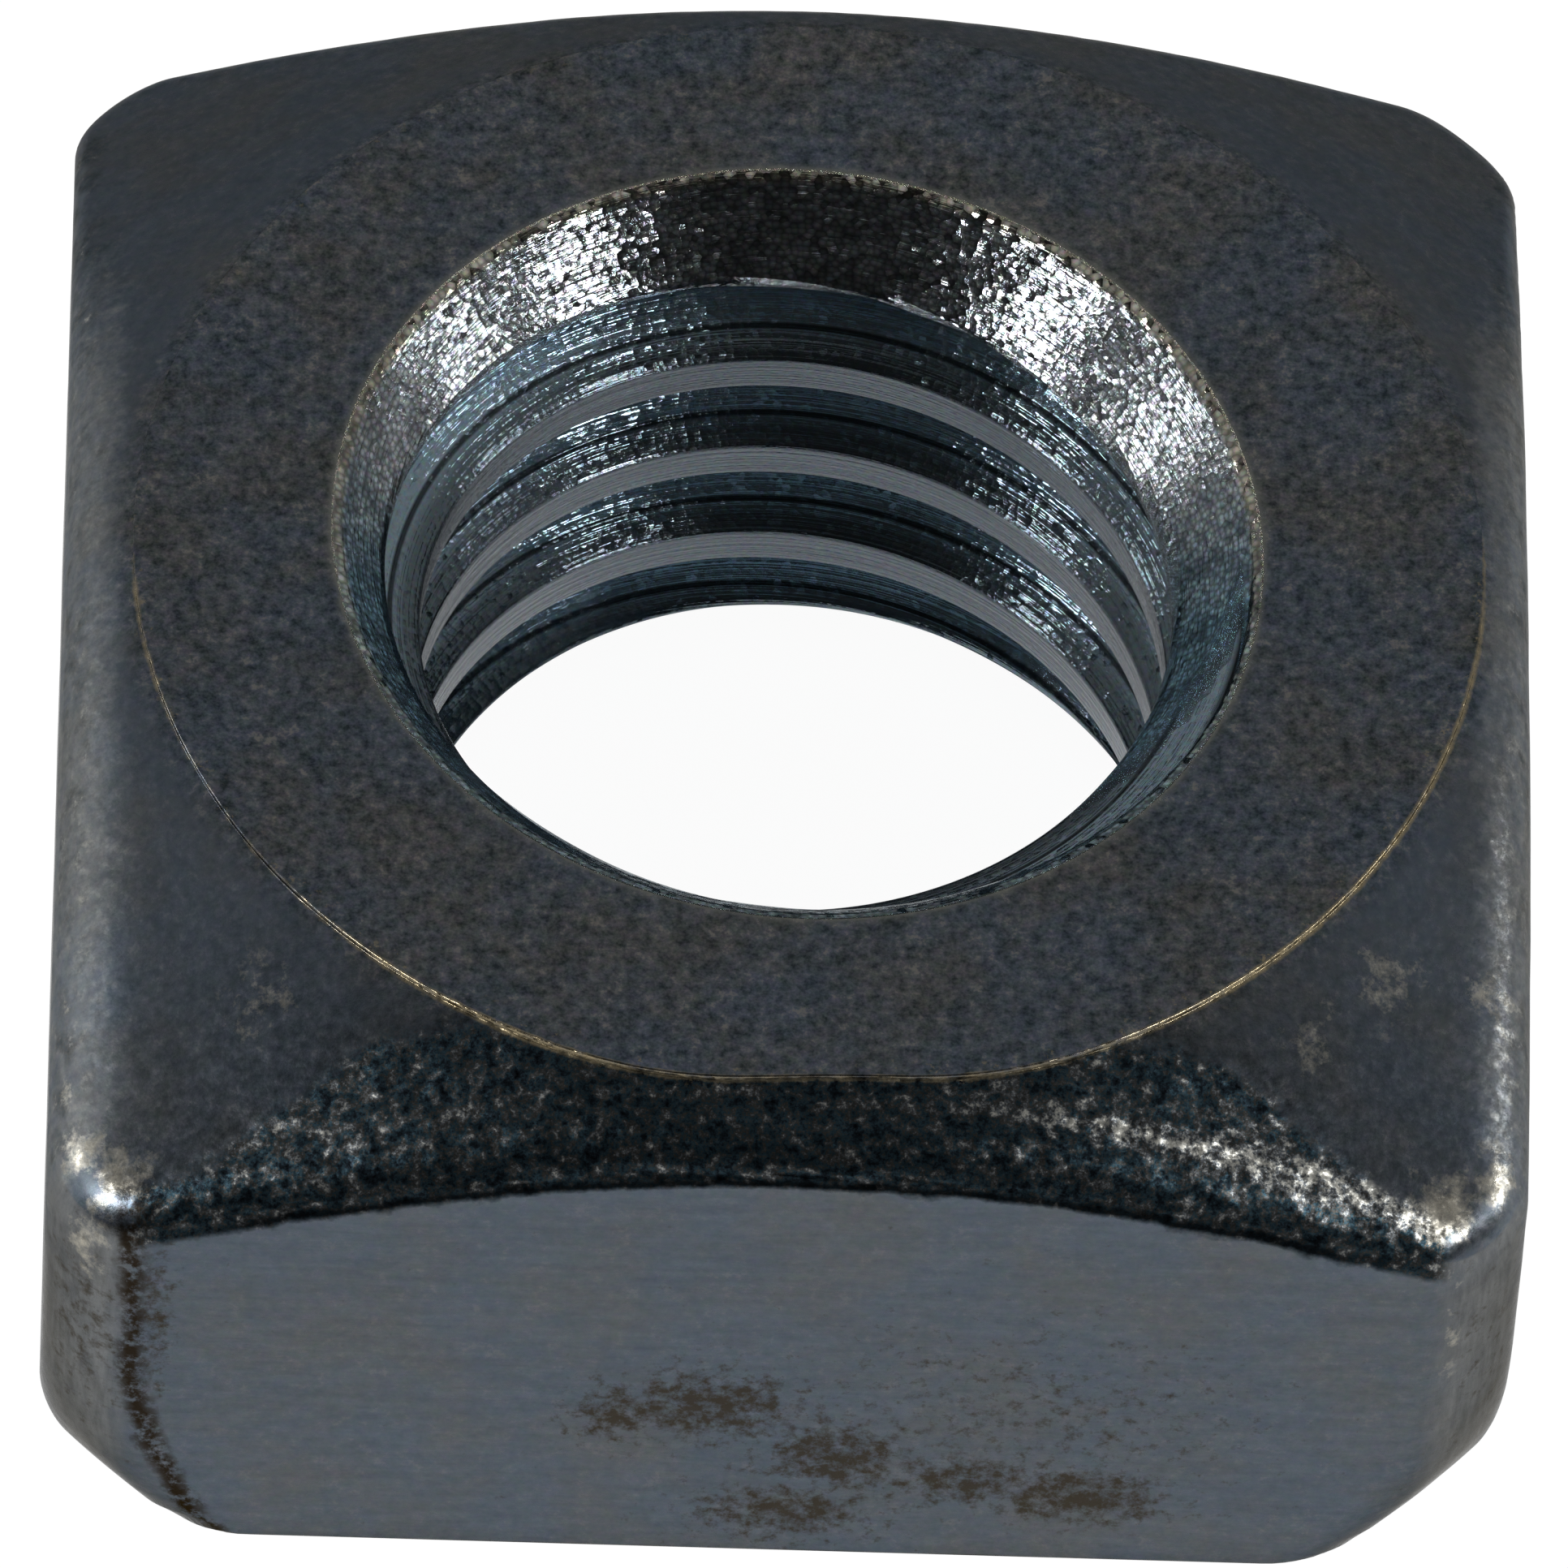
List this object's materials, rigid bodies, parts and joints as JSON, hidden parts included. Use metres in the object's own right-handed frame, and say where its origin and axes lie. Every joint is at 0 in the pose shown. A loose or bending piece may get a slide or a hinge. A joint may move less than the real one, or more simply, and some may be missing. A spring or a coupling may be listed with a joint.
{
  "type": "square nut",
  "caption": "Square nut with a right-hand threaded hole, countersunk both ends, a conical crown around a round bearing face and rounded corners.",
  "frame": {"origin": "centre of the square, on the plain lower face", "axes": "+Z along the thread axis, from the lower face to the bearing face; X and Y square to the flats"},
  "size_m": [0.013, 0.013, 0.006],
  "materials": {
    "zinc_plated_steel": "clear zinc plate, satin, darkened and lightly stained"
  },
  "bodies": {
    "root": {"square_nut": "zinc_plated_steel"}
  },
  "joints": []
}
